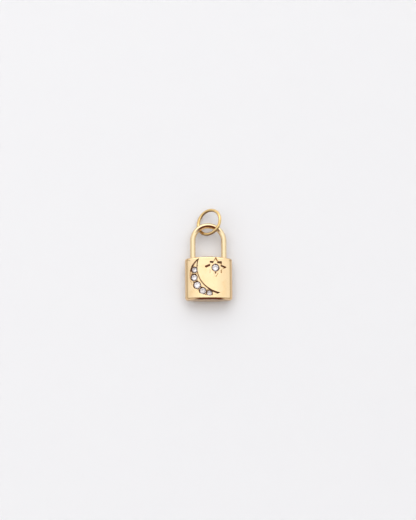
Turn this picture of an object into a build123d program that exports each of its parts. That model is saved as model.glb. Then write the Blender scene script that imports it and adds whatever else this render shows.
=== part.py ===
from build123d import *
import math
import os

# A padlock pendant, in millimetres and degrees. The case has a bulged front and back and a
# slightly arched top. A crescent moon and an eight-pointed star are sunk into the front and
# set with round stones. A wire shackle stands in the top, and a jump ring passes through it.
# The pendant lies on its back: +X is to its right, +Y runs towards the shackle and +Z comes
# out of the front. The origin is the middle of the flat strip on the back.

# Case
case_width = 10.0
case_length = 9.2
case_thickness = 3.6
side_thickness = 1.6  # at the long sides, where both bulges end
back_land = 2.4  # width of the flat strip that the case lies on
top_rise = 0.35  # the middle of the top stands this much above its two ends
side_edge_radius = 1.0  # rounding along the two long sides
top_edge_radius = 0.38  # rounding around the top
bottom_edge_radius = 0.5

# Shackle, a bent wire with its feet in two blind sockets
shackle_wire = 1.15
shackle_span = 6.6  # between the middles of the two legs
shackle_reach = 7.54  # from the top of the case to the outside of the bend
foot_depth = 1.4
socket_gap = 0.03

# Jump ring
ring_wire = 0.66
ring_diameter = 5.44  # across the middle of its wire
ring_tilt = 36.9
ring_heading = 164.7  # where its low side points, measured from +X
ring_shift = 0.21  # its middle lies this far to the right of the case's middle
ring_gap = 0.04  # the least gap between the ring and the shackle
seam_gap = 0.06  # the hairline where the wire's ends meet
seam_turn = 68.0  # along the ring, from its low side

# Crescent moon: a round recess less a larger round bite. Drops are from the case's top.
moon_radius = 4.31
moon_shift = 0.1
moon_drop = 4.11
bite_radius = 5.46
bite_shift = 3.02
bite_drop = 2.35
moon_depth = 0.6
wall_draft = 12.0  # of the walls of the moon and of the star

# Star: a recess with four long rays and four short ones between them
star_shift = 1.49
star_drop = 2.36
side_ray = 2.45
upright_ray = 2.22
short_ray = 1.86
valley_radius = 1.38  # where two neighbouring rays meet
star_depth = 0.62
star_stone_diameter = 1.4
star_girdle_depth = 0.76
star_cup_gap = 0.15  # around the crown of the star's stone

# Stones of the moon, from its upper tip to its lower one
first_stone_diameter = 1.12
second_stone_diameter = 1.26
third_stone_diameter = 1.4
fourth_stone_diameter = 1.32
fifth_stone_diameter = 1.08
# Turn about the moon's middle, distance from it as a share of the moon's radius, diameter
moon_stones = [
    (158.0, 0.815, first_stone_diameter),
    (185.8, 0.781, second_stone_diameter),
    (216.2, 0.777, third_stone_diameter),
    (245.4, 0.827, fourth_stone_diameter),
    (270.0, 0.872, fifth_stone_diameter),
]
moon_girdle_depth = 0.76
moon_cup_gap = 0.13  # around the crowns of the moon's stones
stone_gap = 0.03  # between the lower half of a stone and the metal around it
cup_slope = 62.0  # of the collar between a stone's girdle and the wall of its cup
prong_radius = 0.19
prong_height = 0.2  # above the moon's floor
prong_notch = 0.03  # the stones' cups cut this far into the prongs
end_prong_turn = 38.0  # the last prongs stand this much to each side of the moon's curve

# Cut of the stones: shares of the diameter and slopes of the facets
table_share = 0.56
girdle_share = 0.03
crown_slope = 34.5
star_facet_slope = 21.0
upper_half_slope = 40.5
pavilion_slope = 41.0
lower_half_slope = 42.5
facet_count = 8

# What follows from the sizes above
bulge = (case_thickness - side_thickness) / 2
front_radius = ((case_width / 2) ** 2 + bulge**2) / (2 * bulge)
front_axis = case_thickness - front_radius  # height of the front bulge's axis
back_run = (case_width - back_land) / 2
back_radius = (back_run**2 + bulge**2) / (2 * bulge)
top_radius = ((case_width / 2) ** 2 + top_rise**2) / (2 * top_rise)
case_top = case_length / 2
middle_height = case_thickness / 2
bend_radius = shackle_span / 2
bend_middle = case_top + shackle_reach - shackle_wire / 2 - bend_radius
socket_depth = foot_depth + socket_gap
clear_of_case = case_length + case_thickness  # longer than any cut through the case


def front_height(x):
    return front_axis + math.sqrt(front_radius**2 - x**2)


def on_front(x, y, depth=0.0):
    """A place this deep below the front at x and y, with its own Z out of the front."""
    lean = math.asin(x / front_radius)
    radius = front_radius - depth
    height = front_axis + radius * math.cos(lean)
    return Location((radius * math.sin(lean), y, height), (0, math.degrees(lean), 0))


def case_blank():
    """The case's cross-section run along Y, with an arched top and rounded edges."""
    half = case_width / 2
    land = back_land / 2
    low, high = bulge, case_thickness - bulge
    back_middle = math.asin(back_run / back_radius) / 2
    back_x = land + back_radius * math.sin(back_middle)
    back_z = back_radius * (1 - math.cos(back_middle))
    outline = Curve() + [
        ThreePointArc((-half, high), (0, case_thickness), (half, high)),
        Line((half, high), (half, low)),
        ThreePointArc((half, low), (back_x, back_z), (land, 0)),
        Line((land, 0), (-land, 0)),
        ThreePointArc((-land, 0), (-back_x, back_z), (-half, low)),
        Line((-half, low), (-half, high)),
    ]
    section = make_face(outline)
    corners = section.vertices().filter_by(lambda v: abs(v.X) > land + back_run / 2)
    section = fillet(corners, side_edge_radius)
    overrun = 2 * top_rise
    bar = extrude(Plane.XZ * section, -(case_length + overrun))
    bar = Pos(0, -case_top, 0) * bar
    arch = Cylinder(top_radius, clear_of_case)
    blank = bar & Pos(0, case_top - top_radius, middle_height) * arch
    blank = fillet(blank.faces().sort_by(Axis.Y)[0].edges(), bottom_edge_radius)
    return fillet(blank.faces().sort_by(Axis.Y)[-1].edges(), top_edge_radius)


def below_front(depth):
    """All that lies more than this deep below the front."""
    round_bar = Rot(90, 0, 0) * Cylinder(front_radius - depth, 2 * clear_of_case)
    return Pos(0, 0, front_axis) * round_bar


def moon_recess():
    """Between two round walls, one inside the other's edge, down to a bulged floor."""
    level = front_height(bite_shift - bite_radius)
    widening = clear_of_case / 2 * math.tan(math.radians(wall_draft))
    moon = Cone(moon_radius - widening, moon_radius + widening, clear_of_case)
    bite = Cone(bite_radius + widening, bite_radius - widening, clear_of_case)
    recess = Pos(moon_shift, case_top - moon_drop, level) * moon
    recess -= Pos(bite_shift, case_top - bite_drop, level) * bite
    return recess - below_front(moon_depth)


def star_ring(height):
    """The corners of the star at this height above its outline, where its walls lean out."""
    half_round = [side_ray, valley_radius, short_ray, valley_radius,
                  upright_ray, valley_radius, short_ray, valley_radius]
    corners = []
    for step, reach in enumerate(2 * half_round):
        turn = math.pi * step / len(half_round)
        corners.append(Vector(reach * math.cos(turn), reach * math.sin(turn), height))
    spread = height * math.tan(math.radians(wall_draft))
    ring = []
    for before, here, after in zip(corners[-1:] + corners, corners, corners[1:] + corners[:1]):
        one = (here - before).normalized().rotate(Axis.Z, -90)
        other = (after - here).normalized().rotate(Axis.Z, -90)
        ring.append(here + (one + other) * (spread / (1 + one.dot(other))))
    return ring


def star_recess():
    """A star with leaning walls, down to a bulged floor."""
    low, high = star_ring(-2 * star_depth), star_ring(star_depth)
    faces = [Face(Wire.make_polygon(ring, close=True)) for ring in (low[::-1], high)]
    for a, b, c, d in zip(low, low[1:] + low[:1], high[1:] + high[:1], high):
        faces.append(Face(Wire.make_polygon((a, b, c, d), close=True)))
    star = Solid(Shell(faces))
    return on_front(star_shift, case_top - star_drop) * star - below_front(star_depth)


def stone_seat(diameter, cup_gap):
    """A cone that steepens at the stone's girdle and ends in a round cup."""
    radius = diameter / 2 + stone_gap
    depth = radius * math.tan(math.radians(lower_half_slope))
    cup_radius = diameter / 2 + cup_gap
    cup_foot = (cup_radius - radius) * math.tan(math.radians(cup_slope))
    cup_top = cup_foot + case_thickness / 2
    half = Polyline((0, -depth), (radius, 0), (cup_radius, cup_foot), (cup_radius, cup_top),
                    (0, cup_top), (0, -depth))
    return revolve(Plane.XZ * make_face(half), Axis.Z)


def facet_plane(turn, slope, radius, height):
    """A plane that slopes down outwards, through a point at this turn, radius and height."""
    turn, slope = math.radians(turn), math.radians(slope)
    out = Vector(math.cos(turn), math.sin(turn), 0)
    normal = out * math.sin(slope) + Vector(0, 0, 1) * math.cos(slope)
    return Plane(origin=out * radius + Vector(0, 0, height), z_dir=normal)


def brilliant(diameter):
    """A round brilliant: the bottom of its girdle is at height 0 and its table faces +Z."""
    radius = diameter / 2
    girdle = girdle_share * diameter
    crown_run = radius * (1 - table_share)
    table_height = girdle + crown_run * math.tan(math.radians(crown_slope))
    culet_depth = radius * math.tan(math.radians(lower_half_slope))
    blank_height = table_height + culet_depth
    stone = Pos(0, 0, table_height - blank_height / 2) * Cylinder(radius, blank_height)
    step = 360 / facet_count
    table_edge = table_share * radius * math.cos(math.radians(step / 2))
    planes = []
    for number in range(facet_count):
        turn = number * step
        planes.append(facet_plane(turn, crown_slope, radius, girdle))
        planes.append(facet_plane(turn + step / 2, star_facet_slope, table_edge, table_height))
        for side in (-step / 4, step / 4):
            planes.append(facet_plane(turn + side, upper_half_slope, radius, girdle))
        planes.append(facet_plane(turn, 180 - pavilion_slope, radius, 0))
        for side in (-step / 4, step / 4):
            planes.append(facet_plane(turn + side, 180 - lower_half_slope, radius, 0))
    for plane in planes:
        stone = split(stone, bisect_by=plane, keep=Keep.BOTTOM)
    return stone


def moon_spot(turn, share):
    angle = math.radians(turn)
    x = moon_shift + share * moon_radius * math.cos(angle)
    y = case_top - moon_drop + share * moon_radius * math.sin(angle)
    return x, y


def moon_stone_place(turn, share):
    return on_front(*moon_spot(turn, share), moon_girdle_depth)


def star_stone_place():
    return on_front(star_shift, case_top - star_drop, star_girdle_depth)


def prong_places():
    """Two prongs in each gap between neighbouring stones, and two beyond each end stone."""
    stand_off = moon_cup_gap + prong_radius - prong_notch
    spots = [(*moon_spot(turn, share), size / 2 + stand_off)
             for turn, share, size in moon_stones]
    places = []
    for (ax, ay, a), (bx, by, b) in zip(spots, spots[1:]):
        span = math.hypot(bx - ax, by - ay)
        along = (span**2 + a**2 - b**2) / (2 * span)
        aside = math.sqrt(max(a**2 - along**2, 0))
        ux, uy = (bx - ax) / span, (by - ay) / span
        for side in (-aside, aside):
            places.append((ax + ux * along - uy * side, ay + uy * along + ux * side))
    for (x, y, reach), (turn, _, _), onward in (
        (spots[0], moon_stones[0], -90),
        (spots[-1], moon_stones[-1], 90),
    ):
        for side in (-end_prong_turn, end_prong_turn):
            angle = math.radians(turn + onward + side)
            places.append((x + reach * math.cos(angle), y + reach * math.sin(angle)))
    return places


def prong():
    """A post with a domed top, whose foot runs a little way under the moon's floor."""
    post_top = prong_height - prong_radius
    post = Cylinder(prong_radius, post_top + prong_radius)
    dome = Pos(0, 0, post_top) * Sphere(prong_radius)
    return Pos(0, 0, (post_top - prong_radius) / 2) * post + dome


def case():
    sockets = []
    for side in (-1, 1):
        socket = Rot(90, 0, 0) * Cylinder(shackle_wire / 2 + socket_gap, 2 * socket_depth)
        sockets.append(Pos(side * bend_radius, case_top, middle_height) * socket)
    seats = [moon_stone_place(turn, share) * stone_seat(diameter, moon_cup_gap)
             for turn, share, diameter in moon_stones]
    seats.append(star_stone_place() * stone_seat(star_stone_diameter, star_cup_gap))
    carved = case_blank() - sockets - moon_recess() - star_recess() - seats
    prongs = [on_front(x, y, moon_depth) * prong() - seats for x, y in prong_places()]
    return carved + prongs


def shackle():
    """A round wire along two straight legs and a half-circle."""
    foot = case_top - foot_depth
    legs_and_bend = Curve() + [
        Line((-bend_radius, foot), (-bend_radius, bend_middle)),
        ThreePointArc((-bend_radius, bend_middle), (0, bend_middle + bend_radius),
                      (bend_radius, bend_middle)),
        Line((bend_radius, bend_middle), (bend_radius, foot)),
    ]
    start = Plane(origin=(-bend_radius, foot, 0), x_dir=(1, 0, 0), z_dir=(0, 1, 0))
    wire = sweep(start * Circle(shackle_wire / 2), path=legs_and_bend)
    return Pos(0, 0, middle_height) * wire


def ring_plane(middle_y):
    """The ring's plane, with its X running down to the low side, which rests at height 0."""
    tilt, heading = math.radians(ring_tilt), math.radians(ring_heading)
    ahead = Vector(math.cos(heading), math.sin(heading), 0)
    downhill = ahead * math.cos(tilt) - Vector(0, 0, 1) * math.sin(tilt)
    normal = ahead * math.sin(tilt) + Vector(0, 0, 1) * math.cos(tilt)
    height = ring_wire / 2 + ring_diameter / 2 * math.sin(tilt)
    return Plane(origin=(ring_shift, middle_y, height), x_dir=downhill, z_dir=normal)


def gap_to_shackle(plane):
    """The least gap between the wires of the ring and of the shackle, for a ring so placed."""
    samples = 720
    gaps = []
    for number in range(samples):
        turn = 2 * math.pi * number / samples
        local = Vector(math.cos(turn), math.sin(turn), 0) * (ring_diameter / 2)
        point = plane.from_local_coords(local)
        across = math.hypot(point.X, max(point.Y - bend_middle, 0))
        apart = math.hypot(across - bend_radius, point.Z - middle_height)
        gaps.append(apart - (shackle_wire + ring_wire) / 2)
    return min(gaps)


def resting_ring_plane():
    """The ring drawn out of the shackle as far as its gap allows, found by halving."""
    near = bend_middle
    far = bend_middle + bend_radius + ring_diameter
    for _ in range(30):
        middle = (near + far) / 2
        if gap_to_shackle(ring_plane(middle)) >= ring_gap:
            near = middle
        else:
            far = middle
    return ring_plane(near)


def jump_ring():
    ring = Torus(ring_diameter / 2, ring_wire / 2)
    seam = Pos(ring_diameter / 2, 0, 0) * Box(2 * ring_wire, seam_gap, 2 * ring_wire)
    ring -= Rot(0, 0, seam_turn) * seam
    return resting_ring_plane().location * ring


os.makedirs("parts", exist_ok=True)
export_step(case(), "parts/case.step")
export_step(shackle(), "parts/shackle.step")
export_step(jump_ring(), "parts/jump_ring.step")
for number, (turn, share, diameter) in enumerate(moon_stones, start=1):
    stone = moon_stone_place(turn, share) * brilliant(diameter)
    export_step(stone, f"parts/moon_stone_{number}.step")
export_step(star_stone_place() * brilliant(star_stone_diameter), "parts/star_stone.step")
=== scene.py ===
import math

import bpy
import numpy as np
from mathutils import Matrix, Vector


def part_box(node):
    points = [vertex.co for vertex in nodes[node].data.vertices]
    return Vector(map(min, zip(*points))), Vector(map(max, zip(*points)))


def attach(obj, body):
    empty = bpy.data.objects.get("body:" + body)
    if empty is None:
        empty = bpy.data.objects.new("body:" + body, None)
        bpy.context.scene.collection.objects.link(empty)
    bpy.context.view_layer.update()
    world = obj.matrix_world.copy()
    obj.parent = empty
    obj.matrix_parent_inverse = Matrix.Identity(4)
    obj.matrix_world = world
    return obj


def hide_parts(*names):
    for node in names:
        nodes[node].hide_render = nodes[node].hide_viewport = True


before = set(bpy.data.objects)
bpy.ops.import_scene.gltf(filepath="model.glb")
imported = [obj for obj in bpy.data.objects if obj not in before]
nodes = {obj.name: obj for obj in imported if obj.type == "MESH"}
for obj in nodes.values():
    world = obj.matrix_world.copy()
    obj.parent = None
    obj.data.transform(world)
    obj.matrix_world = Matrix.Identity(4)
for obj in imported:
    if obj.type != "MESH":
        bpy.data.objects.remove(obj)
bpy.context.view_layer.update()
millimetre = 0.001
stoneNames = [name for name in nodes if "stone" in name]


# One output socket of a node. Python arithmetic on it adds Math nodes.
class Signal:
    def __init__(self, shading, socket):
        self.shading = shading
        self.socket = socket

    def maths(self, operation, *inputs):
        sockets = dict(enumerate(inputs))
        return self.shading.node("ShaderNodeMath", {"operation": operation}, sockets)

    def __add__(self, other):
        return self.maths("ADD", self, other)

    def __radd__(self, other):
        return self.maths("ADD", other, self)

    def __sub__(self, other):
        return self.maths("SUBTRACT", self, other)

    def __rsub__(self, other):
        return self.maths("SUBTRACT", other, self)

    def __mul__(self, other):
        return self.maths("MULTIPLY", self, other)

    def __rmul__(self, other):
        return self.maths("MULTIPLY", other, self)

    def __neg__(self):
        return self.maths("MULTIPLY", self, -1.0)

    def sqrt(self):
        return self.maths("SQRT", self)

    def size(self):
        return self.maths("ABSOLUTE", self)

    def larger(self, other):
        return self.maths("MAXIMUM", self, other)

    def smaller(self, other):
        return self.maths("MINIMUM", self, other)


# The node tree of a material or of the world.
class Shading:
    def __init__(self, owner):
        owner.use_nodes = True
        self.owner = owner
        self.tree = owner.node_tree
        self.tree.nodes.clear()

    # Adds a node: its settings first, then the values or links of its sockets.
    def node(self, kind, settings=None, sockets=None, output=0):
        made = self.tree.nodes.new(kind)
        for name, value in (settings or {}).items():
            if name == "stops":
                self.setStops(made.color_ramp, value)
            else:
                setattr(made, name, value)
        for key, value in (sockets or {}).items():
            if isinstance(value, Signal):
                self.tree.links.new(value.socket, made.inputs[key])
            else:
                made.inputs[key].default_value = value
        return Signal(self, made.outputs[output]) if len(made.outputs) else made

    def setStops(self, ramp, stops):
        while len(ramp.elements) < len(stops):
            ramp.elements.new(1.0)
        for element, (position, stopColour) in zip(ramp.elements, stops):
            element.position = position
            element.color = stopColour

    def vector(self, operation, *inputs, output="Vector"):
        sockets = dict(enumerate(inputs))
        return self.node("ShaderNodeVectorMath", {"operation": operation}, sockets, output)

    def split(self, vector):
        first = self.node("ShaderNodeSeparateXYZ", {}, {0: vector})
        return [Signal(self, socket) for socket in first.socket.node.outputs]

    # 0 below the lower edge, 1 above the upper one and smooth between.
    def smoothStep(self, value, low, high):
        return self.node("ShaderNodeMapRange", {"interpolation_type": "SMOOTHSTEP"},
                         {"Value": value, "From Min": low, "From Max": high})

    # 0 outside the outer two of four edges, 1 between the inner two and smooth between.
    def band(self, value, edges):
        riseStart, riseEnd, fallStart, fallEnd = edges
        return (self.smoothStep(value, riseStart, riseEnd)
                * (1.0 - self.smoothStep(value, fallStart, fallEnd)))

    # Cloudy values round 0.5. The scale is about the number of clouds to the mm.
    def noise(self, place, scale, detail, roughness=0.5):
        return self.node("ShaderNodeTexNoise", {"noise_dimensions": "3D"}, {
            "Vector": place, "Scale": scale, "Detail": detail, "Roughness": roughness})

    # The share of a surface's direction that points along each axis. "Normal" is the smooth one
    # and "True Normal" the flat faces' own.
    def direction(self, kind="Normal"):
        return self.split(self.node("ShaderNodeNewGeometry", output=kind))

    # Object coordinates in mm, so that every size in a pattern is the metal's own.
    def placeInMillimetres(self):
        place = self.node("ShaderNodeTexCoord", output="Object")
        return self.node("ShaderNodeVectorMath", {"operation": "SCALE"},
                         {0: place, "Scale": 1 / millimetre})

    def mixColour(self, amount, first, second):
        return self.node("ShaderNodeMix", {"data_type": "RGBA"},
                         {0: amount, 6: first, 7: second}, output=2)


def colour(red, green, blue):
    return (red, green, blue, 1.0)


# The pendant fills little of a portrait picture. The camera looks almost straight down, leaning
# towards the case's bottom end and a little to its left. Lengths are in mm and turns in degrees.
cameraSet = {
    "leanSouth": 12.0,
    "leanWest": 3.0,
    "roll": 0.6,  # the pendant is turned this far to the left in the picture
    "distance": 450.0,
    "sensor": 36.0,
    "nearest": 10.0,
    "farthest": 10000.0,
    "pixelSize": 0.2121,  # on the pendant
    "pictureHeight": 520,
    "caseMiddle": (208.6, 279.1),  # pixels
    "pictureMiddle": (208.0, 260.0),
}


# The camera's back points from the pendant to the lens: straight up, leant to the south and the
# west. Its up is the north's part square to that, its right is square to both, and the roll turns
# the last two about the first.
def cameraAxes():
    south, west = math.radians(cameraSet["leanSouth"]), math.radians(cameraSet["leanWest"])
    back = np.array([-math.sin(west) * math.cos(south), -math.sin(south),
                     math.cos(west) * math.cos(south)])
    back /= np.linalg.norm(back)
    up = np.array([0.0, 1.0, 0.0]) - back[1] * back
    up /= np.linalg.norm(up)
    right = np.cross(up, back)
    roll = math.radians(cameraSet["roll"])
    rolledRight = math.cos(roll) * right - math.sin(roll) * up
    rolledUp = math.sin(roll) * right + math.cos(roll) * up
    return rolledRight, rolledUp, back


# The case's middle falls on its own pixel, so the point that the camera looks at lies beside it by
# the pixels between the two. The picture's longer side spans the sensor, so the lens is the sensor
# times the distance, over the length that this side shows.
def makeCamera():
    right, up, back = cameraAxes()
    low, high = (np.array(corner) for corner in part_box("case"))
    pixel = cameraSet["pixelSize"] * millimetre
    across, down = (np.array(cameraSet["pictureMiddle"]) - cameraSet["caseMiddle"]) * pixel
    target = (low + high) / 2 + right * across - up * down
    distance = cameraSet["distance"] * millimetre
    lensData = bpy.data.cameras.new("camera")
    lensData.sensor_width = cameraSet["sensor"]
    lensData.lens = cameraSet["sensor"] * distance / (cameraSet["pictureHeight"] * pixel)
    lensData.clip_start = cameraSet["nearest"] * millimetre
    lensData.clip_end = cameraSet["farthest"] * millimetre
    camera = bpy.data.objects.new("camera", lensData)
    bpy.context.scene.collection.objects.link(camera)
    matrix = np.eye(4)
    matrix[:3, 0], matrix[:3, 1], matrix[:3, 2] = right, up, back
    matrix[:3, 3] = target + back * distance
    camera.matrix_world = Matrix(matrix.tolist())
    bpy.context.scene.camera = camera


# Turns a grid of points into a closed mesh: the columns join round, and the first and last rows
# close on one point each.
def gridMesh(name, grid, uv):
    rows, columns, _ = grid.shape
    body = grid.reshape(-1, 3)
    poles = np.array([grid[0].mean(axis=0), grid[-1].mean(axis=0)])
    points = np.vstack([body, poles])
    index = np.arange(rows * columns).reshape(rows, columns)
    here, after = index[:-1], index[1:]
    quads = np.stack([here, np.roll(here, -1, 1), np.roll(after, -1, 1), after], -1).reshape(-1, 4)
    firstPole, lastPole = len(body), len(body) + 1
    firstFan = np.stack([np.full(columns, firstPole), np.roll(index[0], -1), index[0]], -1)
    lastFan = np.stack([np.full(columns, lastPole), index[-1], np.roll(index[-1], -1)], -1)
    corners = np.concatenate([quads.ravel(), firstFan.ravel(), lastFan.ravel()])
    sizes = np.concatenate([np.full(len(quads), 4), np.full(2 * columns, 3)])
    starts = np.concatenate([[0], np.cumsum(sizes)[:-1]])
    mesh = bpy.data.meshes.new(name)
    mesh.vertices.add(len(points))
    mesh.vertices.foreach_set("co", points.ravel())
    mesh.loops.add(len(corners))
    mesh.loops.foreach_set("vertex_index", corners)
    mesh.polygons.add(len(sizes))
    mesh.polygons.foreach_set("loop_start", starts)
    mesh.polygons.foreach_set("loop_total", sizes)
    mesh.polygons.foreach_set("use_smooth", np.ones(len(sizes), dtype=bool))
    mesh.update(calc_edges=True)
    layer = mesh.uv_layers.new(name="alongWire")
    flat = np.vstack([uv.reshape(-1, 2), uv[0].mean(axis=0), uv[-1].mean(axis=0)])
    layer.data.foreach_set("uv", flat[corners].ravel())
    piece = bpy.data.objects.new(name, mesh)
    bpy.context.scene.collection.objects.link(piece)
    return piece


# A round wire: at each point of its path stands a circle, centre + radius * (cos t * across
# + sin t * upward), where the two unit vectors are square to the path and each point has its own
# radius.
def wireGrid(centres, across, upward, radii, around):
    turn = np.linspace(0, 2 * math.pi, around, endpoint=False)
    spoke = (np.cos(turn)[None, :, None] * across[:, None, :]
             + np.sin(turn)[None, :, None] * upward[:, None, :])
    return centres[:, None, :] + radii[:, None, None] * spoke


# Distance along the wire and distance round it, in mm, for every point of the grid.
def wireUv(centres, radii, around):
    steps = np.linalg.norm(np.diff(centres, axis=0), axis=1)
    along = np.concatenate([[0], np.cumsum(steps)])
    turn = np.linspace(0, 1, around, endpoint=False)
    u = np.repeat(along[:, None], around, axis=1)
    v = turn[None, :] * (2 * math.pi * radii.max())
    return np.stack([u, np.repeat(v, len(along), axis=0)], -1)


# A wire's rounded end follows a quarter circle: each row lies rounding * (1 - cos t) from the end
# and has the wire's radius less rounding * (1 - sin t).
def roundedEnd(radius, rounding, rows):
    turn = np.linspace(0, math.pi / 2, rows)
    return rounding * (1 - np.cos(turn)), radius - rounding * (1 - np.sin(turn))


# A wire stands for a CAD node, on the same body, and hides it.
def finishWire(name, nodeName, grid, uv):
    piece = gridMesh(name, grid * millimetre, uv)
    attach(piece, "root")
    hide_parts(nodeName)
    return piece


# The wires' sizes are in mm.
shackleSet = {
    "wire": 1.15,
    "span": 6.6,  # between the middles of the legs
    "bendMiddle": 8.265,  # from the case's middle along the pendant
    "foot": 3.2,  # where the legs end, along the pendant
    "height": 1.8,  # of the wire's middle above the floor
    "footRounding": 0.12,
    "footRows": 9,
    "legRows": 60,
    "bendRows": 160,
    "around": 96,
}


# Two straight legs at half the span to each side, joined by a half circle of that radius about
# the bend's middle. The circles' first axis points away from the middle of the loop.
def makeShackle():
    radius = shackleSet["wire"] / 2
    bend = shackleSet["span"] / 2
    rounding = shackleSet["footRounding"]
    fromEnd, rimRadius = roundedEnd(radius, rounding, shackleSet["footRows"])
    legY = np.linspace(shackleSet["foot"] + rounding, shackleSet["bendMiddle"],
                       shackleSet["legRows"])[1:]
    sweep = np.linspace(math.pi, 0, shackleSet["bendRows"])[1:-1]
    rise = np.concatenate([shackleSet["foot"] + fromEnd, legY])
    riseRadii = np.concatenate([rimRadius, np.full(len(legY), radius)])
    left = np.stack([np.full(len(rise), -bend), rise, np.zeros(len(rise))], -1)
    arc = np.stack([bend * np.cos(sweep), shackleSet["bendMiddle"] + bend * np.sin(sweep),
                    np.zeros(len(sweep))], -1)
    right = left[::-1] * [-1, 1, 1]
    centres = np.vstack([left, arc, right])
    radii = np.concatenate([riseRadii, np.full(len(sweep), radius), riseRadii[::-1]])
    outwards = centres - [0, shackleSet["bendMiddle"], 0]
    outwards[:, 1] = np.maximum(outwards[:, 1], 0)
    outwards /= np.linalg.norm(outwards, axis=1)[:, None]
    upward = np.tile([0.0, 0.0, 1.0], (len(centres), 1))
    centres = centres + [0, 0, shackleSet["height"]]
    grid = wireGrid(centres, outwards, upward, radii, shackleSet["around"])
    uv = wireUv(centres, radii, shackleSet["around"])
    return finishWire("shackle_wire", "shackle", grid, uv)


ringSet = {
    "wire": 0.66,
    "diameter": 5.44,  # of the wire's middle line
    "tilt": 36.9,  # of the ring's plane, in degrees
    "heading": 164.7,  # the way it slopes down, from the east towards the north
    "middle": (0.21, 12.3303, 1.9632),
    "seamTurn": 68.0,  # round the ring from its lowest point
    "seamGap": 0.06,
    "endRounding": 0.06,
    "endRows": 7,
    "rows": 260,
    "around": 72,
}


# One turn of wire in a tilted plane, from one side of its seam to the other: middle + loop *
# (cos t * downhill + sin t * sideways), where downhill and sideways span the ring's plane.
def makeJumpRing():
    radius = ringSet["wire"] / 2
    loop = ringSet["diameter"] / 2
    rounding = ringSet["endRounding"]
    tilt, heading = math.radians(ringSet["tilt"]), math.radians(ringSet["heading"])
    ahead = np.array([math.cos(heading), math.sin(heading), 0.0])
    top = np.array([0.0, 0.0, 1.0])
    downhill = ahead * math.cos(tilt) - top * math.sin(tilt)
    normal = ahead * math.sin(tilt) + top * math.cos(tilt)
    sideways = np.cross(normal, downhill)
    fromEnd, rimRadius = roundedEnd(radius, rounding, ringSet["endRows"])
    start = (ringSet["seamGap"] / 2 + fromEnd) / loop
    run = np.linspace(start[-1], 2 * math.pi - start[-1], ringSet["rows"])[1:-1]
    turn = np.concatenate([start, run, 2 * math.pi - start[::-1]])
    radii = np.concatenate([rimRadius, np.full(len(run), radius), rimRadius[::-1]])
    turn = turn + math.radians(ringSet["seamTurn"])
    outwards = np.cos(turn)[:, None] * downhill + np.sin(turn)[:, None] * sideways
    centres = outwards * loop + np.array(ringSet["middle"])
    upward = np.tile(normal, (len(centres), 1))
    grid = wireGrid(centres, upward, outwards, radii, ringSet["around"])
    uv = wireUv(centres, radii, ringSet["around"])
    return finishWire("jump_ring_wire", "jump_ring", grid, uv)


# What all the polished metal has.
polishSet = {
    # Hairlines in three directions: their turn in degrees, how much finer they are across than
    # along, and a shift that makes each set its own
    "hairlines": ((17.0, 14.0, 1.3), (-38.0, 11.0, 7.9), (74.0, 12.0, 4.1)),
    "hairlineScale": 1.6,
    "hairlineDetail": 3.0,
    "hairlineHarshness": 0.6,  # how strong the finer noise in them is
    "hairlineDown": 3.0,  # how much finer they are down the sides
    "hairlineEdges": (0.6, 0.72),  # of the noise, where a hairline starts and is full
    "hairlineRoughness": 0.05,
    "cloudScale": 0.55,
    "cloudDetail": 2.0,
    "cloudEdges": (0.42, 0.75),  # where the deeper colour starts and is strongest
    "cloudAmount": 0.5,
    "cloudRoughness": 0.03,
    "waveScale": 0.9,
    "waveDetail": 1.0,
    "waveHeight": 6.0,  # in depths of a hairline
    "edgeSamples": 6,
}
goldSet = {
    "colour": colour(1.0, 0.765, 0.465),
    "deepColour": colour(0.93, 0.66, 0.33),
    # The colour of painted shade and dark reflection, and of dark spots
    "shadeAndSpotColour": colour(0.12, 0.016, 0.001),
    "shadedSideColour": colour(0.77, 0.54, 0.3),
    # Painted shade on the sides: where it starts and is full
    "shadedSideTurn": (0.92, 0.84),  # upward share of a direction where the sides start and are full
    "roughness": 0.05,
    "shadeAndSpotRoughness": 0.3,
    "scratchDepth": 0.0006,  # mm
    "edgeRadius": 0.15,  # mm within which light takes an edge for a round one
}
shackleGoldSet = {
    **goldSet,
    "colour": colour(1.0, 0.8, 0.5),
    "deepColour": colour(0.96, 0.71, 0.38),
    "shadedSideColour": colour(0.72, 0.5, 0.25),
    "shadedSideTurn": (0.75, 0.45),
}
ringGoldSet = {
    "colour": colour(0.94, 0.68, 0.32),
    "deepColour": colour(0.86, 0.56, 0.23),
    "shadeAndSpotColour": colour(0.13, 0.04, 0.005),
    "shadedSideColour": colour(0.64, 0.42, 0.16),
    "shadedSideTurn": (0.6, 0.3),
    "roughness": 0.07,
    "shadeAndSpotRoughness": 0.3,
    "scratchDepth": 0.0008,
    "edgeRadius": 0.05,
}
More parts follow.
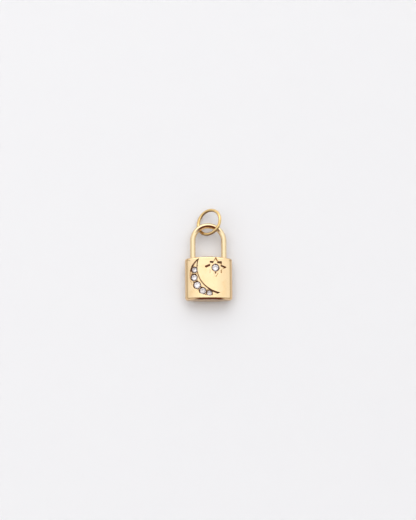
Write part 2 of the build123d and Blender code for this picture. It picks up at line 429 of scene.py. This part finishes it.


# Polished plate: hairlines in several directions, cloudy patches of a deeper colour, a very slight
# waviness, painted shade on the sides, softened edges, and brown painted shade and spots as much as
# the function passed in says.
def makeGold(name, goldValues, makeShadeAndSpots):
    shading = Shading(bpy.data.materials.new(name))
    place = shading.placeInMillimetres()
    hairlines = None
    for angle, fineness, shift in polishSet["hairlines"]:
        turned = shading.node("ShaderNodeMapping", {"vector_type": "POINT"}, {
            "Vector": place, "Location": (shift, -shift, shift),
            "Rotation": (0, 0, math.radians(angle)),
            "Scale": (1.0, fineness, polishSet["hairlineDown"])})
        noise = shading.noise(turned, polishSet["hairlineScale"], polishSet["hairlineDetail"],
                              polishSet["hairlineHarshness"])
        line = shading.smoothStep(noise, *polishSet["hairlineEdges"])
        hairlines = line if hairlines is None else hairlines.larger(line)
    cloud = shading.noise(place, polishSet["cloudScale"], polishSet["cloudDetail"])
    wave = shading.noise(place, polishSet["waveScale"], polishSet["waveDetail"])
    shadeAndSpots = makeShadeAndSpots(shading, place)
    tint = shading.smoothStep(cloud, *polishSet["cloudEdges"]) * polishSet["cloudAmount"]
    plateColour = shading.mixColour(tint, goldValues["colour"], goldValues["deepColour"])
    sideStart, sideFull = goldValues["shadedSideTurn"]
    _, _, upward = shading.direction()
    # Painted shade: faces that turn away from straight up are darker.
    shadedSide = 1.0 - shading.smoothStep(upward, sideFull, sideStart)
    plateColour = shading.mixColour(shadedSide, plateColour, goldValues["shadedSideColour"])
    # Brown painted shade, painted dark reflection and dark spots over the plate.
    base = shading.mixColour(shadeAndSpots, plateColour, goldValues["shadeAndSpotColour"])
    rough = (goldValues["roughness"] + polishSet["cloudRoughness"] * cloud
             + polishSet["hairlineRoughness"] * hairlines
             + goldValues["shadeAndSpotRoughness"] * shadeAndSpots)
    depth = (wave * polishSet["waveHeight"] - hairlines) * goldValues["scratchDepth"]
    rounded = shading.node("ShaderNodeBevel", {"samples": polishSet["edgeSamples"]},
                           {"Radius": goldValues["edgeRadius"] * millimetre})
    bump = shading.node("ShaderNodeBump", {}, {"Strength": 1.0, "Distance": millimetre,
                                               "Height": depth, "Normal": rounded})
    shader = shading.node("ShaderNodeBsdfPrincipled", {}, {
        "Base Color": base, "Metallic": 1.0, "Roughness": rough, "Normal": bump})
    shading.node("ShaderNodeOutputMaterial", {}, {"Surface": shader})
    return shading.owner


# Lengths are in mm. Four edges are where the painted shade starts, is full, is still full and ends.
caseShadeSet = {
    "frontRadius": 13.0,
    "frontAxis": -9.4,  # height of the axis about which the front bulges
    "halfWidth": 4.28,  # the recesses lie inside these limits
    "bottom": -4.15,
    "top": 4.15,
    "limitSoftness": 0.02,
    "sunkDepths": (0.01, 0.04, 0.75, 0.8),  # below the curve of the front
    "steepUpward": (0.5, 0.7),  # upward share of a wall's direction and of a floor's
    "topNorthward": (0.1, 0.2),  # northward share of a direction at the case's top edge
    "wallAmount": 0.92,  # on walls that face the bottom of the case
    "sideWallAmount": 0.45,  # on all others
    "facingShare": (0.3, 0.8),  # southward share of their direction, from the others to these
    "cupWidth": 0.14,  # outwards from a stone's rim
    "cupSoftness": 0.04,
    "cupDepths": (0.55, 0.58),  # below the curve of the front
    "cupAmount": 0.92,
    "bottomEdge": -4.6,  # the case's bottom end and the radius of its rounded edge
    "bottomRadius": 0.5,
    "bottomTurns": (24.0, 31.0, 95.0, 125.0),  # degrees round the edge where the line lies
    "bottomReach": (-3.7, -1.9, 2.4, 3.6),  # and where it fades out to both sides
    "bottomAmount": 0.97,
    "frontHeights": (1.9, 2.1),  # the back gets none of the painted shade below these
    # Strokes of painted dark reflection and shade, and darker marks at both top corners: their
    # points, radius and amount
    "shadeStrokes": (
        (((-4.45, 3.95), (-4.05, 3.78)), 0.22, 0.3),  # both top corners
        (((4.5, 3.78), (4.75, 3.95)), 0.2, 0.25),
        (((-2.52, 3.83), (-2.67, 3.69), (-3.01, 3.31), (-3.39, 2.81), (-3.65, 2.39), (-3.76, 1.92),
          (-3.87, 1.58)), 0.14, 0.9),  # the moon's rims
        (((-0.11, -2.4), (0.26, -2.7), (0.73, -2.85), (1.33, -3.1), (1.99, -3.28)), 0.12, 0.8),
        (((-2.41, 2.6),), 0.17, 0.8),
        (((-3.01, 2.3),), 0.3, 0.9),  # above and between its stones
        (((-3.65, 0.85), (-2.83, 0.8)), 0.13, 0.8),
        (((-2.7, -0.7), (-2.36, -0.75)), 0.18, 0.95),
        (((-1.66, -2.04), (-1.0, -2.3)), 0.16, 0.9),
        (((-0.6, -2.93), (-0.35, -2.93)), 0.13, 0.8),
        (((-0.68, 2.42), (0.12, 2.74)), 0.23, 0.97),  # the star's rays
        (((0.39, 3.45), (0.86, 3.35)), 0.18, 0.95),
        (((1.88, 3.34), (2.46, 3.26)), 0.15, 0.9),
        (((2.67, 2.63), (3.55, 2.37)), 0.14, 0.9),
        (((1.09, 2.93), (1.41, 3.05), (1.8, 2.93)), 0.14, 0.9),  # round its stone
        (((0.74, 2.4),), 0.14, 0.9),
        (((2.25, 2.13),), 0.14, 0.9),
        (((1.43, 1.15),), 0.25, 1.0),
    ),
    # The star's upright ray: its walls get none of the painted shade.
    "unshadedPlaces": ((((1.49, 4.15),), 0.95, 0.8),),  # the star's upright ray
}


# Distance in mm from the rim of the nearest stone, less than nothing inside it. Each stone stands
# square on the curve of the front, so its axis leans as far as its place on the curve does, and
# the distance from that axis is the root of offset squared less the part along the axis squared.
def rimDistance(shading, place):
    nearest = None
    for name in stoneNames:
        low, high = (np.array(corner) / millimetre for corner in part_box(name))
        middle = (low + high) / 2
        reach = (high[1] - low[1]) / 2
        lean = math.asin(middle[0] / caseShadeSet["frontRadius"])
        axis = (math.sin(lean), 0.0, math.cos(lean))
        offset = shading.vector("SUBTRACT", place, tuple(middle))
        along = shading.vector("DOT_PRODUCT", offset, axis, output="Value")
        length = shading.vector("LENGTH", offset, output="Value")
        away = (length * length - along * along).larger(0.0).sqrt() - reach
        nearest = away if nearest is None else nearest.smaller(away)
    return nearest


strokeCore = 0.5  # share of a stroke's radius inside which it is full


# Soft-edged strokes: the distance from each run between two points, with a radius and an amount.
# The nearest point of a run lies at the share (offset . run) / (run . run) of it, kept between 0
# and 1. A stroke of one point is a round spot.
def strokeMask(shading, x, y, strokes):
    mask = None
    for points, radius, amount in strokes:
        for start, end in zip(points, points[1:] or points):
            alongX, alongY = end[0] - start[0], end[1] - start[1]
            across, along = x - start[0], y - start[1]
            length = alongX ** 2 + alongY ** 2
            if length > 0:
                share = across * (alongX / length) + along * (alongY / length)
                share = share.larger(0.0).smaller(1.0)
                across, along = across - share * alongX, along - share * alongY
            away = (across * across + along * along).sqrt()
            stroke = (1.0 - shading.smoothStep(away, radius * strokeCore, radius)) * amount
            mask = stroke if mask is None else mask.larger(stroke)
    return mask


# Painted dark reflection on the walls of the moon and the star: steep faces that lie under the
# curve of the front, darker where they face the case's bottom.
def wallPaintedShade(shading, x, y, depth):
    values = caseShadeSet
    _, northward, upward = shading.direction("True Normal")
    softness = values["limitSoftness"]
    sunk = shading.band(depth, values["sunkDepths"])
    steep = 1.0 - shading.smoothStep(upward, *values["steepUpward"])
    inside = 1.0 - shading.smoothStep(x.size(), values["halfWidth"], values["halfWidth"] + softness)
    inside = inside * shading.smoothStep(y, values["bottom"] - softness, values["bottom"])
    topEdge = shading.smoothStep(y, values["top"] - softness, values["top"])
    inside = inside * (1.0 - topEdge * shading.smoothStep(northward, *values["topNorthward"]))
    facing = shading.smoothStep(-northward, *values["facingShare"])
    amount = values["sideWallAmount"] + facing * (values["wallAmount"] - values["sideWallAmount"])
    unshaded = 1.0 - strokeMask(shading, x, y, values["unshadedPlaces"])
    return sunk * steep * inside * amount * unshaded


# Painted dark reflection: a line in the middle of the rounded bottom edge, by the angle round that
# edge.
def bottomPaintedReflection(shading, x, y, depth):
    values = caseShadeSet
    radius = values["bottomRadius"]
    turn = shading.node("ShaderNodeMath", {"operation": "ARCTAN2"},
                        {0: values["bottomEdge"] + radius - y, 1: radius - depth})
    line = shading.band(turn, np.radians(values["bottomTurns"]))
    return line * shading.band(x, values["bottomReach"]) * values["bottomAmount"]


# Painted shade in the cup round each stone: a ring about the stone's axis, below the moon's or the
# star's floor.
def cupPaintedShade(shading, place, depth):
    values = caseShadeSet
    width = values["cupWidth"]
    rim = shading.smoothStep(rimDistance(shading, place), width, width + values["cupSoftness"])
    return (1.0 - rim) * shading.smoothStep(depth, *values["cupDepths"]) * values["cupAmount"]


# The most of all the painted shade and dark marks on the case. The depth below the front is its
# radius less the distance from its axis.
def casePaintedShade(shading, place):
    values = caseShadeSet
    x, y, z = shading.split(place)
    rise = z - values["frontAxis"]
    depth = values["frontRadius"] - (x * x + rise * rise).sqrt()
    # Painted dark reflection along the bottom edge and the painted strokes, kept off the back.
    shadeStrokes = bottomPaintedReflection(shading, x, y, depth).larger(strokeMask(shading, x, y, values["shadeStrokes"]))
    shadeStrokes = shadeStrokes * shading.smoothStep(z, *values["frontHeights"])
    return wallPaintedShade(shading, x, y, depth).larger(cupPaintedShade(shading, place, depth)).larger(shadeStrokes)


bendShadeSet = {
    "edges": (-0.1, 0.0, 0.32, 0.42),  # inwards from the middle of the wire
    "fade": (9.6, 11.0),  # along the pendant, where the painted reflection fades out down the legs
    "amount": 0.97,
}


# Painted dark reflection on the inner side of the shackle's bend: the distance from the bend's
# middle is less than the bend's own radius there.
def bendPaintedReflection(shading, place):
    x, y, _ = shading.split(place)
    rise = y - shackleSet["bendMiddle"]
    inwards = shackleSet["span"] / 2 - (x * x + rise * rise).sqrt()
    line = shading.band(inwards, bendShadeSet["edges"])
    return line * shading.smoothStep(y, *bendShadeSet["fade"]) * bendShadeSet["amount"]


ringSpotsAndShadeSet = {
    "spots": ((((-1.45, 10.35),), 0.28, 0.7), (((-0.98, 9.92),), 0.2, 0.7)),
    "southShare": (0.15, 0.6),  # share of the surface's direction that points to the case
    "southShadeAmount": 0.75,
}


# Brown spots beside the ring's seam, and painted shade on the sides of the wire that face the case.
def ringSpotsAndShade(shading, place):
    x, y, _ = shading.split(place)
    _, northward, _ = shading.direction()
    # Painted shade on the sides of the wire that face the case.
    south = shading.smoothStep(-northward, *ringSpotsAndShadeSet["southShare"])
    spots = strokeMask(shading, x, y, ringSpotsAndShadeSet["spots"])
    return spots.larger(south * ringSpotsAndShadeSet["southShadeAmount"])


stoneSet = {
    "colour": colour(1.0, 0.97, 0.98),
    "shadedStoneColour": colour(0.55, 0.52, 0.51),
    "rimShadeColour": colour(0.42, 0.37, 0.36),
    "rimShadeTurn": (-0.3, -0.06),  # mm inside the stone's rim
    "shadedStonePlaces": ((((-1.3, -2.6),), 1.6, 0.9), (((0.25, -3.15),), 1.4, 0.9),
                   (((-3.1, 2.3),), 0.8, 0.6)),
    "ior": 1.9,
    "roughness": 0.01,
    "hazeRoughness": 0.02,
    "hazeScale": 2.5,
    "hazeDetail": 2.0,
}


# Clear glass with a thin haze, and painted shade round its rim and in the stones near the moon's
# two tips.
def makeStone():
    shading = Shading(bpy.data.materials.new("clearStone"))
    place = shading.placeInMillimetres()
    haze = shading.noise(place, stoneSet["hazeScale"], stoneSet["hazeDetail"])
    rough = stoneSet["roughness"] + stoneSet["hazeRoughness"] * haze
    x, y, _ = shading.split(place)
    # Painted shade in some of the stones.
    shadedStones = strokeMask(shading, x, y, stoneSet["shadedStonePlaces"])
    tint = shading.mixColour(shadedStones, stoneSet["colour"], stoneSet["shadedStoneColour"])
    # Painted shade round the stone's rim.
    rim = shading.smoothStep(rimDistance(shading, place), *stoneSet["rimShadeTurn"])
    tint = shading.mixColour(rim, tint, stoneSet["rimShadeColour"])
    shader = shading.node("ShaderNodeBsdfPrincipled", {}, {
        "Base Color": tint, "Roughness": rough, "IOR": stoneSet["ior"],
        "Transmission Weight": 1.0})
    shading.node("ShaderNodeOutputMaterial", {}, {"Surface": shader})
    return shading.owner


floorSet = {
    "size": 3000.0,  # mm
    "colour": colour(0.82, 0.82, 0.835),
    "roughness": 0.9,
    "gloss": 0.1,
    "scatter": 2.2,  # mm that light travels inside the floor
}


# A plain square, whose light wanders under its surface as it does in white cloth.
def makeFloor():
    half = floorSet["size"] / 2 * millimetre
    mesh = bpy.data.meshes.new("floor")
    mesh.from_pydata([(-half, -half, 0), (half, -half, 0), (half, half, 0), (-half, half, 0)],
                     [], [(0, 1, 2, 3)])
    floor = bpy.data.objects.new("floor", mesh)
    bpy.context.scene.collection.objects.link(floor)
    shading = Shading(bpy.data.materials.new("paleFloor"))
    shader = shading.node("ShaderNodeBsdfPrincipled", {}, {
        "Base Color": floorSet["colour"], "Roughness": floorSet["roughness"],
        "Specular IOR Level": floorSet["gloss"], "Subsurface Weight": 1.0,
        "Subsurface Radius": (1.0, 1.0, 1.0),
        "Subsurface Scale": floorSet["scatter"] * millimetre})
    shading.node("ShaderNodeOutputMaterial", {}, {"Surface": shader})
    mesh.materials.append(shading.owner)


skySet = {
    # Brightness against the share of a direction that points sideways, from west to east
    "levels": ((-1.0, 0.62), (-0.85, 0.74), (-0.62, 0.84), (-0.45, 1.02), (-0.25, 1.2),
               (0.25, 1.2), (0.45, 1.05), (0.62, 0.97), (0.85, 0.76), (1.0, 0.62)),
    "darkTurns": (24.0, 34.0, 54.0, 68.0),  # from straight up towards the south
    "darkMiddle": 0.07,  # share sideways
    "darkReach": (0.6, 0.95),
    "darkColour": colour(0.075, 0.025, 0.008),
    "brightTurns": (26.0, 36.0, 52.0, 62.0),  # from straight up towards the north
    "brightReach": (0.3, 0.6),
    "brightColour": colour(1.9, 1.9, 1.9),
}


# A pale sky, brightest in a strip from the south over the top to the north and dimmer to both
# sides. A bright window stands in the north and a dark room in the south, where the camera is, each
# between its own angles from straight up.
def makeSky():
    world = bpy.data.worlds.new("sky")
    bpy.context.scene.world = world
    shading = Shading(world)
    x, y, z = shading.split(shading.node("ShaderNodeTexCoord", output="Generated"))
    southward = shading.node("ShaderNodeMath", {"operation": "ARCTAN2"}, {0: -y, 1: z})
    bright = shading.band(-southward, np.radians(skySet["brightTurns"]))
    bright = bright * (1.0 - shading.smoothStep(x.size(), *skySet["brightReach"]))
    dark = shading.band(southward, np.radians(skySet["darkTurns"]))
    aside = (x - skySet["darkMiddle"]).size()
    dark = dark * (1.0 - shading.smoothStep(aside, *skySet["darkReach"]))
    brightest = max(level for _, level in skySet["levels"])
    stops = [((share + 1) / 2, colour(*[level / brightest] * 3))
             for share, level in skySet["levels"]]
    grey = shading.node("ShaderNodeValToRGB", {"stops": stops}, {"Fac": (x + 1.0) * 0.5})
    white = shading.node("ShaderNodeVectorMath", {"operation": "SCALE"},
                         {0: grey, "Scale": brightest})
    white = shading.mixColour(bright, white, skySet["brightColour"])
    mixed = shading.mixColour(dark, white, skySet["darkColour"])
    background = shading.node("ShaderNodeBackground", {}, {"Color": mixed, "Strength": 1.0})
    shading.node("ShaderNodeOutputWorld", {}, {"Surface": background})


# Lengths are in mm, leans in degrees and powers in watts.
lampSet = {
    "distance": 600.0,
    "leanWest": 30.0,
    "softLamp": {"size": 1200.0, "leanNorth": 42.0, "power": 1.85, "inStones": True},
    "fillLamp": {"size": 600.0, "leanNorth": -40.0, "power": 0.2, "inStones": False},
}


# A large soft lamp above the shackle's end and a weaker one opposite, each turned to the pendant.
# Neither shows in the gold, and only the first shows in the stones.
def makeLamps():
    for name in ("softLamp", "fillLamp"):
        values = lampSet[name]
        lampData = bpy.data.lights.new(name, "AREA")
        lampData.shape = "DISK"
        lampData.size = values["size"] * millimetre
        lampData.energy = values["power"]
        lamp = bpy.data.objects.new(name, lampData)
        bpy.context.scene.collection.objects.link(lamp)
        north, west = math.radians(values["leanNorth"]), math.radians(lampSet["leanWest"])
        towards = Vector((-math.sin(west) * math.cos(north), math.sin(north),
                          math.cos(west) * math.cos(north)))
        lamp.location = towards * lampSet["distance"] * millimetre
        lamp.rotation_euler = towards.to_track_quat("Z", "Y").to_euler()
        lamp.visible_glossy = False
        lamp.visible_transmission = values["inStones"]


makeCamera()
print("camera set")
shackleWire = makeShackle()
jumpRingWire = makeJumpRing()
print("wires made")
caseGold = makeGold("caseGold", goldSet, casePaintedShade)
shackleGold = makeGold("shackleGold", shackleGoldSet, bendPaintedReflection)
ringGold = makeGold("ringGold", ringGoldSet, ringSpotsAndShade)
clearStone = makeStone()
shackleWire.data.materials.append(shackleGold)
jumpRingWire.data.materials.append(ringGold)
nodes["case"].material_slots[0].material = caseGold
for name in stoneNames:
    nodes[name].material_slots[0].material = clearStone
print("materials set")
makeFloor()
makeSky()
makeLamps()
bpy.context.scene.view_settings.view_transform = "Standard"
print("light set")
